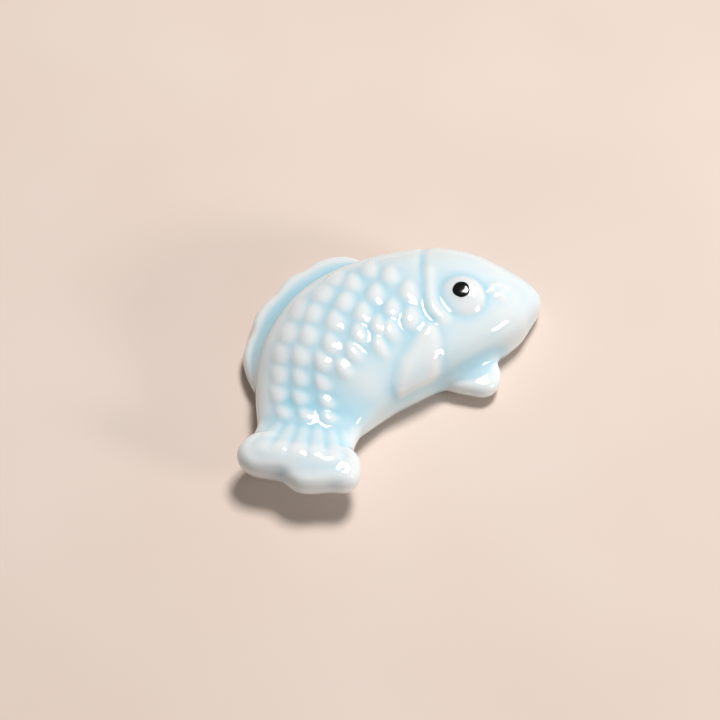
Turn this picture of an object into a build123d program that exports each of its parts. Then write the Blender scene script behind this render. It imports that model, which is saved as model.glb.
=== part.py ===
from build123d import *
import math
import os

# A porcelain carp on its left side, with its tail turned up, that holds a pair of chopsticks.
# Millimetres. +X runs to the head, +Y to the back fin, +Z up from the table.

# Spine seen from above: straight behind the snout, then bent round to the tail
snout_x = 33.83
spine_y = 1.65
spine_length = 67.0
straight_run = 33.0
bend_radius = 27.0
bend_angle = 48.0

# Trunk: widest reaches either side of the spine, and heights above the table
back_reach = 16.4
belly_reach = 14.6
crown_height = 14.8
saddle_height = 9.8
tail_height = 12.2
edge_height = 3.2
tail_lift = 6.4
under_inset = 2.2
under_tuck = 0.3
fullness = 0.74

# The loft runs through this many even sections
section_count = 18

# Foot: the loft dips this far under the table line and is then cut flat
foot_dip = 1.0

# Recess in the foot: its depth, its margin inside the widest line, and the stations it is drawn through
recess_depth = 0.8
recess_margin = 5.5
recess_stations = [6.0, 14.0, 24.0, 34.0, 40.0]

# Glaze: thickness of the coat, and how high above the table it stops
glaze_thickness = 0.35
glaze_line = 1.0

# Eye: a short wall with a domed top, and the enamel dot on it
eye_station = 16.4
eye_across = -5.2
eye_radius = 3.9
eye_rise = 0.95
eye_dome = 10.0
eye_root = 2.0
pupil_radius = 1.6
pupil_thickness = 0.12
pupil_shift = 0.66

# Back fin: arcs from notch to notch, each place given by its station and its reach past the back
fin_notches = [(22.5, -0.6), (33.5, 5.3), (38.0, 4.8), (43.6, 3.6), (51.0, -0.6)]
fin_crests = [(28.9, 5.4), (35.5, 6.0), (41.3, 5.4), (47.0, 3.6)]
fin_roots = [(49.5, -4.0), (36.0, -4.0), (24.0, -4.0)]
fin_corner_round = 2.0
fin_bottom = 1.7
fin_top = 4.9
fin_bevel = 1.0

# Belly fin: a rounded flap, each corner given by its station and its reach past the belly
flap_corners = [(14.8, -2.0), (15.1, 3.0), (18.6, 6.6), (21.6, 5.6), (27.2, -2.0)]
flap_corner_round = 1.6
flap_bottom = 1.5
flap_top = 4.5
flap_bevel = 0.9

# Tail: a fat plate with three lobes, each place given past the end of the spine and across it
tail_outline = [
    (-6.0, -4.5),
    (-5.0, -10.4),
    (-1.8, -11.6),
    (1.6, -10.4),
    (2.2, -7.0),
    (3.3, -3.0),
    (3.1, 0.0),
    (1.6, 2.4),
    (1.4, 7.6),
    (-0.4, 10.9),
    (-3.8, 11.0),
    (-6.2, 8.2),
    (-6.0, 3.5),
]
tail_bottom = 5.9
tail_top = 11.4
tail_bevel = 1.3

# Above everything
sky = 40.0


def rib(station, back, belly, crown, underside, edge):
    """A rib's sizes, from its station and reaches as shares of the trunk's, and its heights."""
    return station * spine_length, back * back_reach, belly * belly_reach, crown, underside, edge


# Ribs from snout to tail: station, reach to the back and to the belly, crown, underside, widest line
ribs = [
    rib(-0.012, -0.14, 0.49, 0.48 * crown_height, -foot_dip, edge_height),
    rib(0.015, -0.01, 0.68, 0.65 * crown_height, -foot_dip, edge_height),
    rib(0.045, 0.18, 0.85, 0.78 * crown_height, -foot_dip, edge_height),
    rib(0.104, 0.47, 0.96, 0.91 * crown_height, -foot_dip, edge_height),
    rib(0.194, 0.75, 1.00, 0.97 * crown_height, -foot_dip, edge_height),
    rib(0.313, 0.93, 1.00, crown_height, -foot_dip, edge_height),
    rib(0.433, 1.00, 0.97, crown_height, -foot_dip, edge_height),
    rib(0.552, 0.99, 0.945, 0.985 * crown_height, -foot_dip, edge_height),
    rib(0.672, 0.87, 0.885, 0.905 * crown_height, -0.5 * foot_dip, 1.06 * edge_height),
    rib(0.761, 0.71, 0.78, 1.14 * saddle_height, 0.19 * tail_lift, 0.19 * tail_lift + 0.88 * edge_height),
    rib(0.843, 0.575, 0.68, saddle_height, 0.41 * tail_lift, 0.41 * tail_lift + 0.81 * edge_height),
    rib(0.903, 0.585, 0.685, 0.87 * tail_height, 0.62 * tail_lift, 0.62 * tail_lift + 0.88 * edge_height),
    rib(0.955, 0.635, 0.71, tail_height, 0.84 * tail_lift, 0.84 * tail_lift + edge_height),
    rib(1.000, 0.525, 0.60, 0.93 * tail_height, tail_lift, tail_lift + 0.75 * edge_height),
]


def spine_frame(station):
    """The plane across the spine at a station: x to the back, y up, z to the head."""
    full_turn = math.radians(bend_angle)
    turn = min(max(station - straight_run, 0.0) / bend_radius, full_turn)
    past_bend = max(station - straight_run - bend_radius * full_turn, 0.0)
    x = snout_x - min(station, straight_run) - bend_radius * math.sin(turn) - past_bend * math.cos(turn)
    y = spine_y - bend_radius * (1 - math.cos(turn)) - past_bend * math.sin(turn)
    across = (-math.sin(turn), math.cos(turn), 0)
    headward = (math.cos(turn), math.sin(turn), 0)
    return Plane(origin=(x, y, 0), x_dir=across, z_dir=headward)


def plan(station, across):
    """The place seen from above, at a station and a distance across the spine towards the back."""
    point = spine_frame(station).from_local_coords((across, 0, 0))
    return point.X, point.Y


def slope(number, column):
    """How fast a size changes at a rib, from the ribs on either side of it."""
    before = ribs[max(number - 1, 0)]
    after = ribs[min(number + 1, len(ribs) - 1)]
    return (after[column] - before[column]) / (after[0] - before[0])


def reach(station, column):
    """One of the trunk's sizes at a station, on a smooth curve through the ribs."""
    number = max([n for n in range(len(ribs) - 1) if ribs[n][0] <= station], default=0)
    before = ribs[number]
    after = ribs[number + 1]
    run = after[0] - before[0]
    share = (station - before[0]) / run
    rest = 1 - share
    start = before[column] * (1 + 2 * share) + slope(number, column) * run * share
    end = after[column] * (1 + 2 * rest) - slope(number + 1, column) * run * rest
    return start * rest**2 + end * share**2


def past_back(station, distance):
    return plan(station, reach(station, 1) + distance)


def past_belly(station, distance):
    return plan(station, -reach(station, 2) - distance)


def core(skin):
    """The trunk and tail web, lofted through the ribs and grown by a skin all over."""
    sections = []
    for number in range(section_count):
        station = ribs[0][0] + (spine_length - ribs[0][0]) * number / (section_count - 1)
        back, belly, crown, underside, edge = [reach(station, column) for column in range(1, 6)]
        if number == 0:
            station -= skin
        if number == section_count - 1:
            station += skin
        right = back + skin
        left = -belly - skin
        top = crown + skin
        bottom = underside - skin
        inset = min(under_inset * (edge - max(underside, 0.0)) / edge_height, 0.3 * (right - left))
        tuck = inset * under_tuck
        high = edge + fullness * (top - edge)
        peak = 1.6 * top - 0.5 * high - 0.1 * edge
        low = bottom + under_tuck * (edge - bottom)
        with BuildSketch(spine_frame(station)) as section:
            with BuildLine():
                Bezier(
                    (left, edge), (left, high), (left, peak), (right, peak), (right, high), (right, edge)
                )
                Bezier((right, edge), (right - tuck, low), (right - inset, bottom))
                Line((right - inset, bottom), (left + inset, bottom))
                Bezier((left + inset, bottom), (left + tuck, low), (left, edge))
            make_face()
        sections.append(section.sketch.face())
    with BuildPart() as trunk:
        loft(sections, clean=False)
    return trunk.part


def seat(trunk, station, across):
    """The plane on the upper flank below a place in plan: x along the spine, z out of the clay."""
    x, y = plan(station, across)
    point, normal = trunk.find_intersection_points(Axis((x, y, sky), (0, 0, -1)))[0]
    return Plane(origin=point, x_dir=-spine_frame(station).z_dir, z_dir=normal)


def domed_post(radius, dome, rise, root):
    """A round post along Z with a spherical top, its crown a rise above Z = 0."""
    shoulder = rise - dome + math.sqrt(dome**2 - radius**2)
    with BuildPart() as post:
        with BuildSketch(Plane.XZ):
            with BuildLine():
                Polyline((0, rise), (0, -root), (radius, -root), (radius, shoulder))
                RadiusArc((radius, shoulder), (0, rise), -dome)
            make_face()
        revolve(axis=Axis.Z)
    return post.part


def grown(points, skin):
    """Points moved away from their middle by a skin."""
    middle_x = sum(x for x, y in points) / len(points)
    middle_y = sum(y for x, y in points) / len(points)
    shares = [skin / math.hypot(x - middle_x, y - middle_y) for x, y in points]
    return [
        (x + (x - middle_x) * share, y + (y - middle_y) * share)
        for (x, y), share in zip(points, shares)
    ]


def smooth_outline(places, skin):
    """A face seen from above, inside a smooth closed curve through places on the spine."""
    with BuildSketch() as blade:
        with BuildLine():
            Spline(*grown([plan(*place) for place in places], skin), periodic=True)
        make_face()
    return blade.sketch


def bevelled(outline, bottom, top, bevel, skin):
    """A plate of an outline drawn from above, bevelled all round."""
    with BuildPart() as plate:
        with BuildSketch(Plane.XY.offset(bottom - skin)):
            add(outline)
        extrude(amount=top - bottom + 2 * skin)
        chamfer(edges().filter_by(Axis.Z, reverse=True), bevel)
    return plate.part


def back_fin_outline(skin):
    notches = [past_back(*notch) for notch in fin_notches]
    crests = [past_back(*crest) for crest in fin_crests]
    roots = [past_back(*root) for root in fin_roots]
    points = grown(notches + crests + roots, skin)
    notches = points[: len(notches)]
    crests = points[len(notches) : -len(roots)]
    last_root, middle_root, first_root = points[-len(roots) :]
    with BuildSketch() as fin:
        with BuildLine():
            for number, crest in enumerate(crests):
                ThreePointArc(notches[number], crest, notches[number + 1])
            Line(notches[-1], last_root)
            ThreePointArc(last_root, middle_root, first_root)
            Line(first_root, notches[0])
        make_face()
        fillet(fin.vertices(), fin_corner_round)
    return fin.sketch


def belly_fin_outline(skin):
    with BuildSketch() as flap:
        with BuildLine():
            Polyline(*grown([past_belly(*corner) for corner in flap_corners], skin), close=True)
        make_face()
        fillet(flap.vertices(), flap_corner_round)
    return flap.sketch


def carp(skin, floor):
    """The whole fish grown by a skin, cut flat at a floor height."""
    bare_trunk = core(0.0)
    trunk = core(skin)
    back_fin = bevelled(back_fin_outline(skin), fin_bottom, fin_top, fin_bevel, skin)
    belly_fin = bevelled(belly_fin_outline(skin), flap_bottom, flap_top, flap_bevel, skin)
    tail_places = [(spine_length + past, across) for past, across in tail_outline]
    tail = bevelled(smooth_outline(tail_places, skin), tail_bottom, tail_top, tail_bevel, skin)
    eye = domed_post(eye_radius + skin, eye_dome + skin, eye_rise + skin, eye_root)
    with BuildPart() as fish:
        add(trunk, clean=False)
        split(bisect_by=Plane.XY.offset(floor), keep=Keep.TOP)
        for piece in (back_fin, belly_fin, tail):
            add(piece, clean=False)
        with Locations(seat(bare_trunk, eye_station, eye_across)):
            add(eye, clean=False)
    return fish.part


os.makedirs("parts", exist_ok=True)

# Fired clay, standing on a bare ring round a shallow recess
back_places = [(station, reach(station, 1) - recess_margin) for station in recess_stations]
belly_places = [(station, recess_margin - reach(station, 2)) for station in reversed(recess_stations)]
with BuildPart() as recess:
    with BuildSketch():
        add(smooth_outline(back_places + belly_places, 0.0))
    extrude(amount=recess_depth)
clay_carp = carp(0.0, 0.0)
with BuildPart() as porcelain_body:
    add(clay_carp, clean=False)
    add(recess.part, clean=False, mode=Mode.SUBTRACT)

# Glass skin over the clay, ending just above the foot
glazed_carp = carp(glaze_thickness, glaze_line)
with BuildPart() as glaze_coat:
    add(glazed_carp, clean=False)
    add(porcelain_body.part, clean=False, mode=Mode.SUBTRACT)

# Enamel dot, a thin round cap that lies on the glazed dome of the eye
eye_seat = seat(core(0), eye_station, eye_across)
dome_centre = eye_seat.offset(eye_rise - eye_dome)
with BuildPart() as eye_pupil:
    with Locations(dome_centre):
        Sphere(eye_dome + glaze_thickness + pupil_thickness)
        Sphere(eye_dome + glaze_thickness, mode=Mode.SUBTRACT)
        with Locations((0, -pupil_shift, 0)):
            Cylinder(pupil_radius, sky, align=(Align.CENTER, Align.CENTER, Align.MIN), mode=Mode.INTERSECT)

porcelain_body.part.label = "porcelain_body"
glaze_coat.part.label = "glaze_coat"
eye_pupil.part.label = "eye_pupil"
export_step(porcelain_body.part, "parts/porcelain_body.step")
export_step(glaze_coat.part, "parts/glaze_coat.step")
export_step(eye_pupil.part, "parts/eye_pupil.step")
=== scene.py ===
import math

import bmesh
import bpy
import numpy as np
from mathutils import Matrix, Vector
from mathutils.bvhtree import BVHTree


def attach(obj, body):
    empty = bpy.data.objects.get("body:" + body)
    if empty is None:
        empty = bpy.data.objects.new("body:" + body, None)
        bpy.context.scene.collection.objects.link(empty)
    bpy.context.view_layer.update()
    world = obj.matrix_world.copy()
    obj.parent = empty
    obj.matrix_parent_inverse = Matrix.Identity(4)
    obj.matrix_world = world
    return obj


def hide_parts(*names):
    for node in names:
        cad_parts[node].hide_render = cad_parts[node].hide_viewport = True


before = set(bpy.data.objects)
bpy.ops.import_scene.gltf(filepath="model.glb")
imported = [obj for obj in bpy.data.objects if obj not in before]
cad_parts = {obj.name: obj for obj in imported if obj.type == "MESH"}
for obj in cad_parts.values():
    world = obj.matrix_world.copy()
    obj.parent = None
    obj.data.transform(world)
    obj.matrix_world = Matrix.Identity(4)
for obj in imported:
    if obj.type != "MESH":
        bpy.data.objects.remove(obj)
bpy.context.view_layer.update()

# A glazed porcelain carp for resting chopsticks on, lying on its side with its tail turned up.
# Shapes are worked out in millimetres, with +X to the head and +Y to the back fin.

MM = 0.001

# Spine seen from above: straight behind the snout, then bent round to the tail
SNOUT_X = 33.83
SPINE_Y = 1.65
SPINE_LENGTH = 67.0
STRAIGHT_RUN = 33.0
BEND_RADIUS = 27.0
BEND_ANGLE = math.radians(48.0)
BEND_END = STRAIGHT_RUN + BEND_RADIUS * BEND_ANGLE

# Trunk: how far it dips under the table line before the glaze is cut, and how high its widest line is
FOOT_DIP = 1.0
EDGE_HEIGHT = 3.2

# Ribs from snout to tail: station, reach to the back and to the belly, crown, underside, widest line
RIBS = np.array([
    (0.0, -5.8, 9.4, 6.0, -FOOT_DIP, EDGE_HEIGHT),
    (1.0, -4.0, 10.3, 7.4, -FOOT_DIP, EDGE_HEIGHT),
    (2.2, -2.05, 11.0, 8.7, -FOOT_DIP, EDGE_HEIGHT),
    (3.3, -0.3, 11.6, 9.7, -FOOT_DIP, EDGE_HEIGHT),
    (4.3, 1.25, 12.1, 10.5, -FOOT_DIP, EDGE_HEIGHT),
    (5.6, 3.2, 12.75, 11.45, -FOOT_DIP, EDGE_HEIGHT),
    (7.0, 5.2, 13.5, 12.35, -FOOT_DIP, EDGE_HEIGHT),
    (9.5, 7.7, 14.2, 13.4, -FOOT_DIP, EDGE_HEIGHT),
    (13.0, 10.4, 14.6, 14.2, -FOOT_DIP, EDGE_HEIGHT),
    (21.0, 13.9, 14.6, 14.8, -FOOT_DIP, EDGE_HEIGHT),
    (29.0, 15.9, 14.0, 14.8, -FOOT_DIP, EDGE_HEIGHT),
    (37.0, 16.1, 13.5, 14.6, -FOOT_DIP, EDGE_HEIGHT),
    (45.0, 14.0, 12.6, 13.4, -0.5, 3.4),
    (51.0, 11.2, 11.3, 11.2, 1.2, 4.0),
    (56.5, 8.8, 9.5, 9.8, 2.6, 5.2),
    (60.5, 9.0, 9.1, 10.6, 4.0, 6.8),
    (64.0, 10.4, 9.8, 12.2, 5.4, 8.6),
    (67.0, 8.6, 8.8, 11.4, 6.4, 8.8),
])

# Section of the trunk: how far the underside is drawn in, at most as a share of the width, how its
# sides tuck under, and how full the arch is
UNDER_INSET = 2.2
MOST_INSET = 0.3
UNDER_TUCK = 0.3
FULLNESS = 0.81

# Nose: where its tip is, the length it is rounded over, and the share of a section left at the tip
NOSE_TIP = -0.9
NOSE_ROUND = 1.7
NOSE_END = 0.02

# Sections along the nose and the trunk, and points round a section's arch and sides
NOSE_RINGS = 40
TRUNK_RINGS = 150
ARCH_POINTS = 80
SIDE_POINTS = 12

# Fins and tail, as places beside the spine: station, and reach past the back or belly or across
FIN_EDGE = [
    (22.0, -1.2), (23.0, 1.4), (25.6, 4.6), (28.9, 5.8), (31.6, 6.0), (33.5, 5.5), (35.5, 6.0),
    (37.0, 5.6), (38.0, 5.0), (39.4, 5.3), (41.3, 5.35), (42.7, 4.7), (43.6, 3.9), (45.0, 4.05),
    (47.0, 3.65), (49.0, 2.1), (50.6, 0.2), (51.0, -2.1), (44.0, -5.0), (36.0, -5.0), (28.0, -5.0),
]
FIN_HEIGHTS = (1.7, 5.0)
FLAP_EDGE = [
    (15.0, -2.5), (15.1, 0.9), (16.2, 3.7), (18.6, 5.5), (20.8, 5.3), (22.9, 3.5), (25.2, 1.2),
    (27.2, -2.5), (20.5, -4.5),
]
FLAP_HEIGHTS = (1.5, 4.9)
TAIL_EDGE = [
    (60.5, -5.0), (61.6, -9.8), (64.9, -11.2), (67.6, -10.8), (68.7, -9.1), (68.9, -6.7), (69.7, -3.6),
    (69.9, -1.1), (69.1, 0.9), (68.1, 2.5), (68.0, 5.8), (67.7, 8.3), (66.3, 10.3), (64.3, 10.9),
    (61.9, 9.8), (60.0, 7.0), (60.0, 2.0),
]
TAIL_HEIGHTS = (5.6, 11.0)
RIM_ROUND = 1.5
TAIL_ROUND = 1.9
RIM_RINGS = 13

# Surface: the fineness of its mesh, rounds of smoothing for the form and after each change to it,
# and how often, and how far round, the creases between body and fins are filled in
SURFACE_STEP = 0.26
FORM_SMOOTHING = 14
TOUCH_SMOOTHING = 4
CREASE_FILLS = 3
CREASE_REACH = 160

# Relief is raised where the surface faces up: none at the first slope, all of it at the second
RELIEF_FACING = (0.05, 0.35)

# Scales: low leaning pads, by station and place across the spine, from the gill to the tail root
SCALES = [
    (27.2, 9.6), (25.1, 6.0), (24.4, 0.8), (33.2, 11.8), (31.7, 8.6), (29.8, 3.6), (29.1, -1.0),
    (27.2, -4.3), (36.3, 10.0), (35.1, 5.5), (34.1, 1.4), (33.2, -2.6), (31.6, -4.2), (40.2, 11.0),
    (39.6, 8.1), (38.6, 3.6), (37.4, -1.6), (35.8, -5.8), (43.9, 9.5), (43.0, 5.7), (42.4, 1.0),
    (41.0, -3.3), (47.1, 8.5), (46.6, 4.7), (46.0, 0.4), (45.2, -3.6), (49.9, 7.2), (49.7, 3.1),
    (49.4, -1.2), (52.8, 6.1), (52.9, 1.9), (52.5, -3.1), (55.6, 4.4), (55.7, 0.2), (55.3, -4.0),
]
SCALE_HALF_LENGTH = 3.0
SCALE_HALF_WIDTH = 1.9
SCALE_LEAN = math.radians(28.0)
SCALE_RISE = 0.42

# Shape of a scale: wider to one end, bowed about a middle, longer to the head, raised to the tail,
# falling off between two shares of its size, and smaller by a share for each mm past a station
SCALE_FLARE = 0.3
SCALE_BOW = 0.3
SCALE_BOW_MIDDLE = 0.3
SCALE_HEAD_SIDE = 0.85
SCALE_TAIL_LIFT = 0.35
SCALE_FALL = (0.15, 1.12)
SCALE_TAPER = 0.011
SCALE_TAPER_FROM = 34.0

# Eye boss: it is higher on the snout side, falls off from inside its radius to outside it, and is domed
EYE = (16.4, -5.2)
EYE_RADIUS = 3.95
EYE_RISE = 0.6
EYE_TILT = 0.18
EYE_FALL_INSIDE = 1.4
EYE_FALL_OUTSIDE = 0.9
EYE_DOME = 0.2

# Gill slit and the raised edge before it, each with its depth or rise and its half-width
GILL_SLIT = [
    (13.4, 11.6), (14.6, 9.6), (17.0, 7.1), (18.8, 4.6), (20.6, 1.5), (22.9, -2.1), (24.1, -4.4),
    (23.9, -6.4),
]
GILL_SLIT_SIZE = (0.26, 0.85)
GILL_EDGE = [(18.6, 3.0), (19.9, 1.0), (21.8, -2.2), (22.5, -5.0), (22.0, -7.4)]
GILL_EDGE_SIZE = (0.28, 1.3)

# Nostril: a low bead and the raised arc round it, each with its rise and its radius or half-width
NOSTRIL = (9.7, -8.3)
NOSTRIL_SIZE = (0.45, 0.95)
NOSTRIL_ARC = [(7.8, -7.4), (8.5, -6.4), (9.8, -6.0), (11.0, -6.7)]
NOSTRIL_ARC_SIZE = (0.4, 0.5)

# Pectoral fin on the flank, rising from outside its edge to inside it
PETAL = [
    (24.7, -7.2), (24.6, -9.6), (26.2, -12.6), (29.0, -15.4), (36.4, -15.2), (40.0, -12.9),
    (35.5, -10.9), (31.6, -9.2), (27.6, -7.3),
]
PETAL_RISE = 0.55
PETAL_SLOPE = (-1.0, 1.7)

# Tail fin: the step where the scales end, and the grooves between its rays, with depth and half-width
TAIL_STEP = [(56.9, 8.2), (57.7, 4.0), (57.8, 0.0), (57.5, -4.0), (56.9, -7.6)]
TAIL_STEP_SIZE = (0.1, 0.8)
RAYS = [
    ((58.4, 6.2), (63.8, 8.4)),
    ((58.4, 3.7), (64.4, 5.1)),
    ((58.4, 1.2), (64.8, 1.8)),
    ((58.4, -1.3), (64.8, -1.7)),
    ((58.3, -3.9), (64.4, -5.2)),
    ((58.1, -6.3), (63.6, -8.5)),
]
RAY_SIZE = (0.15, 0.65)

# Glaze: its thickness over the clay, and the height where it stops
GLAZE = 0.35
GLAZE_LINE = 1.0

# Pooled glaze: rounds of smoothing that tell small and large hollows, how strongly each pools,
# the middle and swing of the result, and its own smoothing
FINE_REACH = 40
BROAD_REACH = 260
FINE_POOL = 4.2
BROAD_POOL = 1.7
POOL_MIDDLE = 0.5
POOL_SWING = 0.42
POOL_SMOOTHING = 6

# Where the glaze has run down the flank: above the belly line, below the back, before the tail root
# and low down. On the tail it pools less in large hollows
RUN_DOWN = 1.0
FLANK_FROM_BELLY = (-1.0, 1.5)
FLANK_TO_BACK = (2.0, 8.0)
FLANK_TO_TAIL = (52.0, 58.0)
RUN_HEIGHTS = (5.0, 13.5)
TAIL_LESS = 0.6
TAIL_STATIONS = (53.0, 59.0)

# Bare foot, from its top down: each ring's distance in from the first and last station, its margin
# inside the trunk's widest line, and its height
FOOT_STATIONS = (3.6, 45.5)
FOOT_TOP = 1.5
FOOT_RINGS = [
    (0.4, 0.4, 1.3, FOOT_TOP),
    (0.0, 0.0, 0.9, FOOT_TOP),
    (0.2, 0.3, 1.35, 0.25),
    (0.3, 0.4, 1.45, 0.07),
    (0.5, 0.6, 1.65, 0.0),
]
FOOT_STEPS = 48

# Recess in the foot, from its mouth up: how far each ring is drawn in, and its height
RECESS_STATIONS = (7.5, 41.0)
RECESS_MARGIN = 5.5
RECESS_DEPTH = 0.8
RECESS_RINGS = [(0.0, 0.0), (0.2, 0.1), (0.5, RECESS_DEPTH)]

# Enamel dot of the eye: it stands a little above the glaze and reaches a little into it. Its edge looks
# hand-painted, by waves of a size, number and start. Rays from above find the glaze, and points that
# fall together are joined
PUPIL = (16.1, -4.45)
PUPIL_RADIUS = 1.6
PUPIL_THICKNESS = 0.09
PUPIL_LIFT = 0.012
PUPIL_SINK = 0.05
PUPIL_WAVES = [(0.02, 3, 0.8), (0.012, 5, 0.0)]
PUPIL_RINGS = 12
PUPIL_SPOKES = 64
PUPIL_JOIN = 0.002
ABOVE_ALL = 100.0

# Stage: half the floor's side in metres, and the camera, placed where the photograph was taken from
FLOOR_HALF = 2.0
LOOK_AT = Vector((-1.27, 2.55, 0.0)) * MM
CAMERA_AWAY = Vector((-94.3, -145.3, 277.2)) * MM
CAMERA_LENS = 85.0
CAMERA_SENSOR = 36.0
CAMERA_NEAR = 0.01

# Directions for the lamps, as seen from the camera, and the dim light of the room
BEHIND = Vector((0.545, 0.84, 0.0))
RIGHTWARD = Vector((0.84, -0.545, 0.0))
UPWARD = Vector((0.0, 0.0, 1.0))
ROOM_LIGHT = 0.14


def smoothstep(low, high, value):
    share = np.clip((value - low) / (high - low), 0.0, 1.0)
    return share * share * (3 - 2 * share)


def trunk_sizes(stations):
    """Back, belly, crown, underside and widest line at each station, on smooth curves through the ribs."""
    at = RIBS[:, 0]
    slopes = np.empty((len(RIBS), 5))
    slopes[1:-1] = (RIBS[2:, 1:] - RIBS[:-2, 1:]) / (at[2:] - at[:-2])[:, None]
    slopes[0] = (RIBS[1, 1:] - RIBS[0, 1:]) / (at[1] - at[0])
    slopes[-1] = (RIBS[-1, 1:] - RIBS[-2, 1:]) / (at[-1] - at[-2])
    number = np.clip(np.searchsorted(at, stations, side="right") - 1, 0, len(at) - 2)
    run = (at[number + 1] - at[number])[:, None]
    share = ((stations - at[number])[:, None]) / run
    rest = 1 - share
    start = RIBS[number, 1:] * (1 + 2 * share) + slopes[number] * run * share
    end = RIBS[number + 1, 1:] * (1 + 2 * rest) - slopes[number + 1] * run * rest
    return start * rest**2 + end * share**2


def plan(stations, across):
    """Places seen from above, from stations along the spine and distances across it to the back."""
    turn = np.clip((stations - STRAIGHT_RUN) / BEND_RADIUS, 0.0, BEND_ANGLE)
    past = np.maximum(stations - BEND_END, 0.0)
    x = SNOUT_X - np.minimum(stations, STRAIGHT_RUN) - BEND_RADIUS * np.sin(turn) - past * np.cos(turn)
    y = SPINE_Y - BEND_RADIUS * (1 - np.cos(turn)) - past * np.sin(turn)
    return np.column_stack([x - across * np.sin(turn), y + across * np.cos(turn)])


def beside_spine(points):
    """Stations and distances across the spine of points, the reverse of plan."""
    x = points[:, 0] - (SNOUT_X - STRAIGHT_RUN)
    y = points[:, 1] - (SPINE_Y - BEND_RADIUS)
    turn = np.arctan2(-x, y)
    radius = np.hypot(x, y)
    straight = x > 0
    past = turn > BEND_ANGLE
    tail_x = -x * math.cos(BEND_ANGLE) - y * math.sin(BEND_ANGLE)
    tail_y = -x * math.sin(BEND_ANGLE) + y * math.cos(BEND_ANGLE)
    station = np.where(straight, STRAIGHT_RUN - x, STRAIGHT_RUN + BEND_RADIUS * turn)
    across = np.where(straight, y - BEND_RADIUS, radius - BEND_RADIUS)
    station = np.where(past & ~straight, BEND_END + tail_x, station)
    across = np.where(past & ~straight, tail_y - BEND_RADIUS, across)
    return station, across


def past_back(places):
    stations, reach = np.array(places).T
    return plan(stations, trunk_sizes(stations)[:, 0] + reach)


def past_belly(places):
    stations, reach = np.array(places).T
    return plan(stations, -trunk_sizes(stations)[:, 1] - reach)


def across_spine(places):
    stations, across = np.array(places).T
    return plan(stations, across)


def between(before, here, after, later, share):
    """Places on a smooth curve from here to after, led by the places before and later."""
    return 0.5 * (
        2 * here
        + (after - before) * share
        + (2 * before - 5 * here + 4 * after - later) * share**2
        + (3 * here - before - 3 * after + later) * share**3
    )


def closed_curve(places, steps=8):
    """A smooth closed curve through places, as a denser list."""
    places = np.asarray(places, float)
    before = np.roll(places, 1, axis=0)
    after = np.roll(places, -1, axis=0)
    later = np.roll(places, -2, axis=0)
    rows = [between(before, places, after, later, share) for share in np.arange(steps) / steps]
    return np.stack(rows, axis=1).reshape(-1, 2)


def open_curve(places, steps=6):
    """A smooth open curve through places, as a denser list."""
    places = np.asarray(places, float)
    along = np.linspace(0, len(places) - 1, len(places) * steps)
    number = np.clip(along.astype(int), 0, len(places) - 2)
    share = (along - number)[:, None]
    before = places[np.maximum(number - 1, 0)]
    later = places[np.minimum(number + 2, len(places) - 1)]
    return between(before, places[number], places[number + 1], later, share)


def bezier(controls, shares):
    """Points on a Bezier curve, for controls of shape (controls, stations, 2)."""
    layers = [control[:, None, :] + 0.0 * shares[None, :, None] for control in controls]
    while len(layers) > 1:
        layers = [
            a + (b - a) * shares[None, :, None]
            for a, b in zip(layers, layers[1:])
        ]
    return layers[0]


def mesh_from(name, vertices, faces):
    mesh = bpy.data.meshes.new(name)
    mesh.from_pydata([tuple(v) for v in np.asarray(vertices) * MM], [], faces)
    mesh.update()
    return mesh


def tube_faces(rings, count):
    """Quads between closed rings of vertices, with the first and last ring capped."""
    faces = []
    for ring in range(rings - 1):
        for step in range(count):
            after = (step + 1) % count
            faces.append((
                ring * count + step,
                ring * count + after,
                (ring + 1) * count + after,
                (ring + 1) * count + step,
            ))
    faces.append(tuple(reversed(range(count))))
    faces.append(tuple(range((rings - 1) * count, rings * count)))
    return faces


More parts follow.
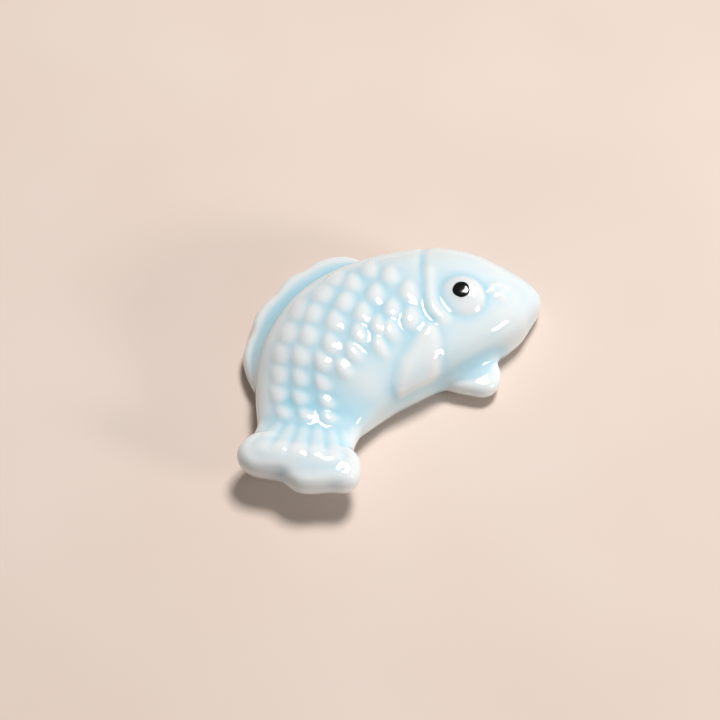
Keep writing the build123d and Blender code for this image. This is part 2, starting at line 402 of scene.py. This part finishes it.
def trunk():
    """The body and tail web: arched sections along the spine, drawn in to a round nose."""
    along = np.linspace(0.0, 1.0, NOSE_RINGS)
    stations = np.concatenate([
        NOSE_TIP + NOSE_ROUND * (1 - np.cos(along * math.pi / 2)),
        np.linspace(NOSE_TIP + NOSE_ROUND, SPINE_LENGTH + GLAZE, TRUNK_RINGS)[1:],
    ])
    back, belly, crown, underside, edge = trunk_sizes(np.clip(stations, RIBS[0, 0], SPINE_LENGTH)).T
    right = back + GLAZE
    left = -belly - GLAZE
    top = crown + GLAZE
    bottom = underside - GLAZE
    inset = UNDER_INSET * (edge - np.maximum(underside, 0.0)) / EDGE_HEIGHT
    inset = np.minimum(inset, MOST_INSET * (right - left))
    tuck = inset * UNDER_TUCK
    low = bottom + UNDER_TUCK * (edge - bottom)
    high = edge + FULLNESS * (top - edge)
    # With these six controls, a peak at this height brings the middle of the arch up to the top
    peak = 1.6 * top - 0.5 * high - 0.1 * edge

    def at(x, z):
        return np.column_stack([x, z])

    arch = bezier(
        [at(left, edge), at(left, high), at(left, peak), at(right, peak), at(right, high), at(right, edge)],
        np.linspace(0, 1, ARCH_POINTS),
    )
    right_side = bezier(
        [at(right, edge), at(right - tuck, low), at(right - inset, bottom)],
        np.linspace(0, 1, SIDE_POINTS)[1:],
    )
    left_side = bezier(
        [at(left + inset, bottom), at(left + tuck, low), at(left, edge)],
        np.linspace(0, 1, SIDE_POINTS)[:-1],
    )
    section = np.concatenate([arch, right_side, left_side], axis=1)
    middle = at((left + right) / 2, (top + bottom) / 2)[:, None, :]
    from_nose = np.clip((stations - NOSE_TIP) / NOSE_ROUND, 0.0, 1.0)
    draw_in = np.sqrt(np.maximum(1 - (1 - from_nose) ** 2, NOSE_END**2))
    section = middle + (section - middle) * draw_in[:, None, None]
    count = section.shape[1]
    place = plan(np.repeat(stations, count), section[:, :, 0].ravel())
    vertices = np.column_stack([place, section[:, :, 1].ravel()])
    return mesh_from("trunk", vertices, tube_faces(len(stations), count))


def rounded_plate(name, outline, heights, rim):
    """A plate of an outline seen from above, with a fully rounded rim."""
    outline = closed_curve(outline)
    after = np.roll(outline, -1, axis=0)
    run = after - np.roll(outline, 1, axis=0)
    inward = np.column_stack([-run[:, 1], run[:, 0]]) / np.hypot(run[:, 0], run[:, 1])[:, None]
    inward *= np.sign(np.sum(outline[:, 0] * after[:, 1] - outline[:, 1] * after[:, 0]))
    outline = outline - inward * GLAZE
    middle = (heights[0] + heights[1]) / 2
    half = (heights[1] - heights[0]) / 2 + GLAZE
    rings = []
    for angle in np.linspace(-math.pi / 2, math.pi / 2, RIM_RINGS):
        ring = outline + inward * rim * (1 - math.cos(angle))
        rings.append(np.column_stack([ring, np.full(len(ring), middle + half * math.sin(angle))]))
    return mesh_from(name, np.concatenate(rings), tube_faces(len(rings), len(outline)))


def fused(meshes):
    """One skin round several overlapping closed meshes."""
    joined = bmesh.new()
    for mesh in meshes:
        joined.from_mesh(mesh)
    bmesh.ops.recalc_face_normals(joined, faces=joined.faces)
    whole = bpy.data.meshes.new("whole")
    joined.to_mesh(whole)
    joined.free()
    block = bpy.data.objects.new("whole", whole)
    bpy.context.collection.objects.link(block)
    skin = block.modifiers.new("skin", "REMESH")
    skin.mode = "VOXEL"
    skin.voxel_size = SURFACE_STEP * MM
    skin.adaptivity = 0.0
    result = bpy.data.meshes.new_from_object(block.evaluated_get(bpy.context.evaluated_depsgraph_get()))
    bpy.data.objects.remove(block)
    return result


def positions(mesh):
    values = np.empty(len(mesh.vertices) * 3)
    mesh.vertices.foreach_get("co", values)
    return values.reshape(-1, 3) / MM


def set_positions(mesh, points):
    mesh.vertices.foreach_set("co", (points * MM).ravel())
    mesh.update()


def normals(mesh):
    values = np.empty(len(mesh.vertices) * 3)
    mesh.vertex_normals.foreach_get("vector", values)
    return values.reshape(-1, 3)


def edge_pairs(mesh):
    values = np.empty(len(mesh.edges) * 2, dtype=np.int32)
    mesh.edges.foreach_get("vertices", values)
    return values.reshape(-1, 2)


def relaxed(values, edges, rounds):
    """Values drawn halfway to the mean of their neighbours, over and over."""
    count = len(values)
    ends = np.concatenate([edges[:, 0], edges[:, 1]])
    others = np.concatenate([edges[:, 1], edges[:, 0]])
    neighbours = np.maximum(np.bincount(ends, minlength=count), 1)
    for _ in range(rounds):
        columns = [np.bincount(ends, weights=column[others], minlength=count) for column in values.T]
        values = values + 0.5 * (np.column_stack(columns) / neighbours[:, None] - values)
    return values


def distance_to(line, station, across, closed=False):
    """Least distance from places beside the spine to a line of places."""
    line = np.asarray(line, float)
    ends = np.roll(line, -1, axis=0) if closed else line[1:]
    best = np.full(len(station), np.inf)
    for start, end in zip(line, ends):
        run = end - start
        share = ((station - start[0]) * run[0] + (across - start[1]) * run[1]) / float(run @ run)
        share = np.clip(share, 0.0, 1.0)
        best = np.minimum(best, np.hypot(
            station - start[0] - share * run[0],
            across - start[1] - share * run[1],
        ))
    return best


def inside(line, station, across):
    """Which places lie inside a closed line."""
    line = np.asarray(line, float)
    odd = np.zeros(len(station), bool)
    for (s0, a0), (s1, a1) in zip(line, np.roll(line, -1, axis=0)):
        if a0 == a1:
            continue
        crosses = (a0 > across) != (a1 > across)
        odd ^= crosses & (station < s0 + (across - a0) * (s1 - s0) / (a1 - a0))
    return odd


def scale_pads(station, across):
    """Height of the scales: soft leaning pads that rise to a free edge on the tail side."""
    rise = np.zeros(len(station))
    lean_sin = math.sin(SCALE_LEAN)
    lean_cos = math.cos(SCALE_LEAN)
    for scale_station, scale_across in SCALES:
        size = 1 - SCALE_TAPER * max(scale_station - SCALE_TAPER_FROM, 0.0)
        tailward = station - scale_station
        aside = across - scale_across
        along = (tailward * lean_sin - aside * lean_cos) / (SCALE_HALF_LENGTH * size)
        outward = (tailward * lean_cos + aside * lean_sin) / (SCALE_HALF_WIDTH * size)
        outward = outward / (1 + SCALE_FLARE * np.clip(along, -1, 1))
        outward = outward + SCALE_BOW * (along**2 - SCALE_BOW_MIDDLE)
        near = np.hypot(along, np.where(outward > 0, outward, SCALE_HEAD_SIDE * outward))
        pad = (1 - smoothstep(*SCALE_FALL, near)) * (1 + SCALE_TAIL_LIFT * np.clip(outward, -1, 1))
        rise = np.maximum(rise, SCALE_RISE * size * pad)
    return rise


def ridge(line, station, across, rise, half_width):
    """A soft ridge along a line of places."""
    return rise * np.exp(-((distance_to(line, station, across) / half_width) ** 2))


def relief(station, across):
    """How far the modelled detail stands above or below the plain flank, in millimetres."""
    rise = scale_pads(station, across)

    from_eye = np.hypot(station - EYE[0], across - EYE[1])
    eye_height = EYE_RISE - EYE_TILT * (station - EYE[0])
    eye_fall = smoothstep(EYE_RADIUS - EYE_FALL_INSIDE, EYE_RADIUS + EYE_FALL_OUTSIDE, from_eye)
    rise += eye_height * (1 - eye_fall)
    rise += EYE_DOME * np.sqrt(np.clip(1 - (from_eye / EYE_RADIUS) ** 2, 0, 1))

    rise -= ridge(open_curve(GILL_SLIT), station, across, *GILL_SLIT_SIZE)
    rise += ridge(open_curve(GILL_EDGE), station, across, *GILL_EDGE_SIZE)

    petal = closed_curve(PETAL, 6)
    depth = distance_to(petal, station, across, closed=True)
    depth = np.where(inside(petal, station, across), depth, -depth)
    rise += PETAL_RISE * smoothstep(*PETAL_SLOPE, depth)

    bead_rise, bead_radius = NOSTRIL_SIZE
    from_nostril = np.hypot(station - NOSTRIL[0], across - NOSTRIL[1])
    rise += bead_rise * np.exp(-((from_nostril / bead_radius) ** 2))
    rise += ridge(open_curve(NOSTRIL_ARC), station, across, *NOSTRIL_ARC_SIZE)

    rise -= ridge(open_curve(TAIL_STEP), station, across, *TAIL_STEP_SIZE)
    for ray in RAYS:
        rise -= ridge(ray, station, across, *RAY_SIZE)
    return rise


def fish_form():
    """Trunk, fins and tail under one smooth skin, with the creases between them filled in."""
    mesh = fused([
        trunk(),
        rounded_plate("back_fin", past_back(FIN_EDGE), FIN_HEIGHTS, RIM_ROUND),
        rounded_plate("belly_fin", past_belly(FLAP_EDGE), FLAP_HEIGHTS, RIM_ROUND),
        rounded_plate("tail", across_spine(TAIL_EDGE), TAIL_HEIGHTS, TAIL_ROUND),
    ])
    edges = edge_pairs(mesh)
    set_positions(mesh, relaxed(positions(mesh), edges, FORM_SMOOTHING))
    for _ in range(CREASE_FILLS):
        points = positions(mesh)
        outward = normals(mesh)
        sunk = np.sum(outward * (relaxed(points, edges, CREASE_REACH) - points), axis=1)
        filled = points + outward * np.maximum(sunk, 0.0)[:, None]
        set_positions(mesh, relaxed(filled, edges, TOUCH_SMOOTHING))
    return mesh


def raise_relief(mesh, edges, station, across):
    """Raise the modelled detail on the upper side of the fish."""
    outward = normals(mesh)
    upward = smoothstep(*RELIEF_FACING, outward[:, 2])
    raised = positions(mesh) + outward * (relief(station, across) * upward)[:, None]
    set_positions(mesh, relaxed(raised, edges, TOUCH_SMOOTHING))


def pooled_glaze(mesh, edges, station, across):
    """Depth of the glaze at each vertex, from thin on ridges to deep in hollows and low on the flank."""
    points = positions(mesh)
    outward = normals(mesh)
    smooth = relaxed(points, edges, FINE_REACH)
    fine = np.sum(outward * (smooth - points), axis=1)
    broad = np.sum(outward * (relaxed(smooth, edges, BROAD_REACH) - points), axis=1)
    broad *= 1 - TAIL_LESS * smoothstep(*TAIL_STATIONS, station)
    belly = trunk_sizes(np.clip(station, RIBS[0, 0], SPINE_LENGTH))[:, 1]
    on_flank = smoothstep(*FLANK_FROM_BELLY, across + belly) * (1 - smoothstep(*FLANK_TO_BACK, across))
    on_flank *= 1 - smoothstep(*FLANK_TO_TAIL, station)
    run_down = on_flank * (1 - smoothstep(*RUN_HEIGHTS, points[:, 2]))
    depth = np.tanh(FINE_POOL * fine + BROAD_POOL * broad + RUN_DOWN * run_down)
    pool = POOL_MIDDLE + POOL_SWING * depth
    return np.clip(relaxed(pool[:, None], edges, POOL_SMOOTHING)[:, 0], 0, 1)


def cut_at_glaze_line(mesh):
    """Take away what is below the glaze line and close the cut."""
    trimmed = bmesh.new()
    trimmed.from_mesh(mesh)
    cut = bmesh.ops.bisect_plane(
        trimmed,
        geom=trimmed.verts[:] + trimmed.edges[:] + trimmed.faces[:],
        plane_co=(0, 0, GLAZE_LINE * MM),
        plane_no=(0, 0, 1),
        clear_inner=True,
    )
    rim = [part for part in cut["geom_cut"] if isinstance(part, bmesh.types.BMEdge)]
    bmesh.ops.edgeloop_fill(trimmed, edges=rim)
    bmesh.ops.triangulate(trimmed, faces=[face for face in trimmed.faces if len(face.verts) > 4])
    trimmed.to_mesh(mesh)
    trimmed.free()


def glazed_fish():
    """The glazed surface, with its relief and with the depth of its glaze kept on the vertices."""
    mesh = fish_form()
    edges = edge_pairs(mesh)
    station, across = beside_spine(positions(mesh))
    raise_relief(mesh, edges, station, across)
    pool = pooled_glaze(mesh, edges, station, across)
    layer = mesh.attributes.new("glaze_pool", "FLOAT", "POINT")
    layer.data.foreach_set("value", pool.astype(np.float32))
    cut_at_glaze_line(mesh)
    mesh.name = "glazed_fish"
    return mesh


def foot_ring(first, last, margin, height):
    """A closed ring of the foot, drawn a margin inside the trunk's widest line."""
    stations = np.linspace(first, last, FOOT_STEPS)
    sizes = trunk_sizes(stations)
    back_side = plan(stations, sizes[:, 0] - margin)
    belly_side = plan(stations, margin - sizes[:, 1])[::-1]
    ring = np.concatenate([back_side, belly_side])
    return np.column_stack([ring, np.full(len(ring), height)])


def bare_foot():
    """The dry clay foot that shows below the glaze, with a shallow recess underneath."""
    first, last = FOOT_STATIONS
    rings = [
        foot_ring(first + from_first, last - from_last, margin, height)
        for from_first, from_last, margin, height in FOOT_RINGS
    ]
    first, last = RECESS_STATIONS
    rings += [
        foot_ring(first + draft, last - draft, RECESS_MARGIN + draft, height)
        for draft, height in RECESS_RINGS
    ]
    return mesh_from("bisque_foot", np.concatenate(rings), tube_faces(len(rings), len(rings[0])))


def dot_faces():
    """Faces of the dot's top, its underside and the wall between them."""
    faces = []
    layer = (PUPIL_RINGS + 1) * PUPIL_SPOKES
    last = PUPIL_RINGS * PUPIL_SPOKES
    for spoke in range(PUPIL_SPOKES):
        after = (spoke + 1) % PUPIL_SPOKES
        for ring in range(PUPIL_RINGS):
            inner = ring * PUPIL_SPOKES
            outer = inner + PUPIL_SPOKES
            corners = (inner + spoke, outer + spoke, outer + after, inner + after)
            faces.append(corners)
            faces.append(tuple(layer + corner for corner in reversed(corners)))
        faces.append((last + spoke, layer + last + spoke, layer + last + after, last + after))
    return faces


def enamel_dot(surface):
    """A painted dot that lies on the glaze of the eye, thinning out at its edge."""
    tree = BVHTree.FromPolygons(
        [v.co[:] for v in surface.vertices], [p.vertices[:] for p in surface.polygons]
    )
    vertices = []
    for on_top in (True, False):
        for ring in range(PUPIL_RINGS + 1):
            share = ring / PUPIL_RINGS
            lift = PUPIL_THICKNESS * (1 - share**4) + PUPIL_LIFT if on_top else -PUPIL_SINK
            for spoke in range(PUPIL_SPOKES):
                angle = 2 * math.pi * spoke / PUPIL_SPOKES
                waves = [size * math.sin(count * angle + start) for size, count, start in PUPIL_WAVES]
                radius = PUPIL_RADIUS * share * (1 + sum(waves))
                x, y = plan(
                    np.array([PUPIL[0] + radius * math.cos(angle)]),
                    np.array([PUPIL[1] + radius * math.sin(angle)]),
                )[0]
                above = Vector((x, y, ABOVE_ALL)) * MM
                spot, facing = tree.ray_cast(above, Vector((0, 0, -1)))[:2]
                vertices.append((spot + facing * lift * MM) / MM)
    mesh = mesh_from("enamel_dot", vertices, dot_faces())
    joined = bmesh.new()
    joined.from_mesh(mesh)
    bmesh.ops.remove_doubles(joined, verts=joined.verts, dist=PUPIL_JOIN * MM)
    bmesh.ops.recalc_face_normals(joined, faces=joined.faces)
    joined.to_mesh(mesh)
    joined.free()
    return mesh


def linear(code):
    """An sRGB hex colour as linear red, green, blue and full alpha."""
    shares = [int(code[i:i + 2], 16) / 255 for i in (1, 3, 5)]
    return tuple(c / 12.92 if c <= 0.04045 else ((c + 0.055) / 1.055) ** 2.4 for c in shares) + (1.0,)


def add_node(tree, kind, settings, links=()):
    """A node with its settings, by socket name or attribute, and its links from other nodes' outputs."""
    node = tree.nodes.new(kind)
    for name, value in settings.items():
        if isinstance(name, int) or name in node.inputs:
            node.inputs[name].default_value = value
        else:
            setattr(node, name, value)
    for socket, (source, output) in dict(links).items():
        tree.links.new(source.outputs[output], node.inputs[socket])
    return node


def new_material(name):
    material = bpy.data.materials.new(name)
    material.use_nodes = True
    material.node_tree.nodes.clear()
    return material, material.node_tree


def set_stops(ramp, stops):
    """Colours along a ramp, from a list of places and hex codes."""
    elements = ramp.color_ramp.elements
    while len(elements) < len(stops):
        elements.new(0.5)
    for element, (place, code) in zip(elements, stops):
        element.position = place
        element.color = linear(code)


def celadon_glaze():
    """Blue-white feldspar glaze fired over porcelain: a smooth glass that runs thin and white over
    ridges and pools blue in hollows, with light scattered a little way in."""
    material, tree = new_material("celadon_glaze")
    place = add_node(tree, "ShaderNodeTexCoord", {})
    pool = add_node(tree, "ShaderNodeAttribute", {"attribute_name": "glaze_pool"})
    drift = add_node(tree, "ShaderNodeTexNoise", {"Scale": 1 / (7 * MM), "Detail": 2.0},
                     {"Vector": (place, "Object")})
    depth = add_node(tree, "ShaderNodeMath", {"operation": "MULTIPLY_ADD", 1: 0.16},
                     {0: (drift, "Fac"), 2: (pool, "Fac")})
    tint = add_node(tree, "ShaderNodeValToRGB", {}, {"Fac": (depth, "Value")})
    set_stops(tint, [
        (0.34, "#E9EDED"),
        (0.50, "#DCE9ED"),
        (0.62, "#CDE5ED"),
        (0.80, "#B1DBE9"),
        (1.0, "#96CFE3"),
    ])
    ripple = add_node(tree, "ShaderNodeTexNoise", {"Scale": 1 / (1.6 * MM), "Detail": 2.0},
                      {"Vector": (place, "Object")})
    skin = add_node(tree, "ShaderNodeBump", {"Strength": 0.10, "Distance": 0.05 * MM},
                    {"Height": (ripple, "Fac")})
    glass = add_node(
        tree, "ShaderNodeBsdfPrincipled",
        {"Roughness": 0.06, "IOR": 1.5, "Subsurface Weight": 0.45, "Subsurface Scale": 2.5 * MM,
         "Subsurface Radius": (0.7, 1.0, 1.2)},
        {"Base Color": (tint, "Color"), "Normal": (skin, "Normal")},
    )
    add_node(tree, "ShaderNodeOutputMaterial", {}, {"Surface": (glass, "BSDF")})
    return material


def bisque_porcelain():
    """Unglazed fired porcelain: warm white, dry and finely gritty, with faint cloudy stains."""
    material, tree = new_material("bisque_porcelain")
    place = add_node(tree, "ShaderNodeTexCoord", {})
    grit = add_node(tree, "ShaderNodeTexNoise", {"Scale": 1 / (0.35 * MM), "Detail": 4.0},
                    {"Vector": (place, "Object")})
    stain = add_node(tree, "ShaderNodeTexNoise", {"Scale": 1 / (5 * MM), "Detail": 3.0},
                     {"Vector": (place, "Object")})
    tint = add_node(tree, "ShaderNodeValToRGB", {}, {"Fac": (stain, "Fac")})
    set_stops(tint, [(0.3, "#D9CFBF"), (0.7, "#EAE3D6")])
    grain = add_node(tree, "ShaderNodeBump", {"Strength": 0.3, "Distance": 0.06 * MM},
                     {"Height": (grit, "Fac")})
    clay = add_node(tree, "ShaderNodeBsdfPrincipled", {"Roughness": 0.8},
                    {"Base Color": (tint, "Color"), "Normal": (grain, "Normal")})
    add_node(tree, "ShaderNodeOutputMaterial", {}, {"Surface": (clay, "BSDF")})
    return material


def black_enamel():
    """Overglaze enamel brushed on and fired: a glossy black, a little browner in places."""
    material, tree = new_material("black_enamel")
    place = add_node(tree, "ShaderNodeTexCoord", {})
    brush = add_node(tree, "ShaderNodeTexNoise", {"Scale": 1 / (0.6 * MM), "Detail": 2.0},
                     {"Vector": (place, "Object")})
    tint = add_node(tree, "ShaderNodeValToRGB", {}, {"Fac": (brush, "Fac")})
    set_stops(tint, [(0.35, "#080808"), (0.75, "#12100F")])
    paint = add_node(tree, "ShaderNodeBsdfPrincipled", {"Roughness": 0.08, "IOR": 1.5},
                     {"Base Color": (tint, "Color")})
    add_node(tree, "ShaderNodeOutputMaterial", {}, {"Surface": (paint, "BSDF")})
    return material


def sand_board():
    """Matt painted board under the object: an even sandy beige with a faint cloudiness."""
    material, tree = new_material("sand_board")
    place = add_node(tree, "ShaderNodeTexCoord", {})
    cloud = add_node(tree, "ShaderNodeTexNoise", {"Scale": 1 / (60 * MM), "Detail": 2.0},
                     {"Vector": (place, "Object")})
    tint = add_node(tree, "ShaderNodeValToRGB", {}, {"Fac": (cloud, "Fac")})
    set_stops(tint, [(0.3, "#E3D0C3"), (0.7, "#E8D6CA")])
    board = add_node(tree, "ShaderNodeBsdfPrincipled", {"Roughness": 0.8, "Specular IOR Level": 0.1},
                     {"Base Color": (tint, "Color")})
    add_node(tree, "ShaderNodeOutputMaterial", {}, {"Surface": (board, "BSDF")})
    return material


def piece(name, mesh, material, node):
    """A shown piece that stands for a solid of the frame and moves with it."""
    shown = bpy.data.objects.new(name, mesh)
    bpy.context.collection.objects.link(shown)
    mesh.materials.clear()
    mesh.materials.append(material)
    mesh.shade_smooth()
    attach(shown, "root")
    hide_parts(node)


def aim(thing, place, target):
    """Put a lamp or camera at a place and turn it to a target."""
    thing.location = Vector(place)
    thing.rotation_euler = (Vector(target) - Vector(place)).to_track_quat("-Z", "Y").to_euler()


def softbox(name, direction, distance, width, height, watts):
    """A rectangular area lamp, sizes in metres, turned to the object."""
    light = bpy.data.lights.new(name, "AREA")
    light.shape = "RECTANGLE"
    light.size = width
    light.size_y = height
    light.energy = watts
    lamp = bpy.data.objects.new(name, light)
    bpy.context.collection.objects.link(lamp)
    aim(lamp, LOOK_AT + direction.normalized() * distance, LOOK_AT)


# Pieces of the rest
coat_mesh = glazed_fish()
piece("glazed_fish", coat_mesh, celadon_glaze(), "glaze_coat")
piece("bisque_foot", bare_foot(), bisque_porcelain(), "porcelain_body")
piece("enamel_dot", enamel_dot(coat_mesh), black_enamel(), "eye_pupil")

# Floor
floor_mesh = bpy.data.meshes.new("floor")
floor_corners = [(-1, -1), (1, -1), (1, 1), (-1, 1)]
floor_places = [(x * FLOOR_HALF, y * FLOOR_HALF, 0.0) for x, y in floor_corners]
floor_mesh.from_pydata(floor_places, [], [(0, 1, 2, 3)])
floor = bpy.data.objects.new("floor", floor_mesh)
bpy.context.collection.objects.link(floor)
floor_mesh.materials.append(sand_board())

# Camera
camera_data = bpy.data.cameras.new("camera")
camera_data.lens = CAMERA_LENS
camera_data.sensor_width = CAMERA_SENSOR
camera_data.clip_start = CAMERA_NEAR
camera = bpy.data.objects.new("camera", camera_data)
bpy.context.collection.objects.link(camera)
aim(camera, LOOK_AT + CAMERA_AWAY, LOOK_AT)
bpy.context.scene.camera = camera

# Studio: a softbox nearly overhead and behind, a smaller one low on the right in front, and a dim room
softbox(
    "overhead_softbox", UPWARD + BEHIND * 0.28 + RIGHTWARD * 0.20,
    distance=1.0, width=0.25, height=0.25, watts=8.6,
)
softbox(
    "side_softbox", UPWARD * 0.30 - BEHIND * 0.36 + RIGHTWARD * 0.85,
    distance=1.0, width=0.22, height=0.15, watts=3.4,
)
room = bpy.data.worlds.new("room")
bpy.context.scene.world = room
room.use_nodes = True
room.node_tree.nodes["Background"].inputs["Color"].default_value = linear("#FFFFFF")
room.node_tree.nodes["Background"].inputs["Strength"].default_value = ROOM_LIGHT

bpy.context.scene.view_settings.view_transform = "Standard"
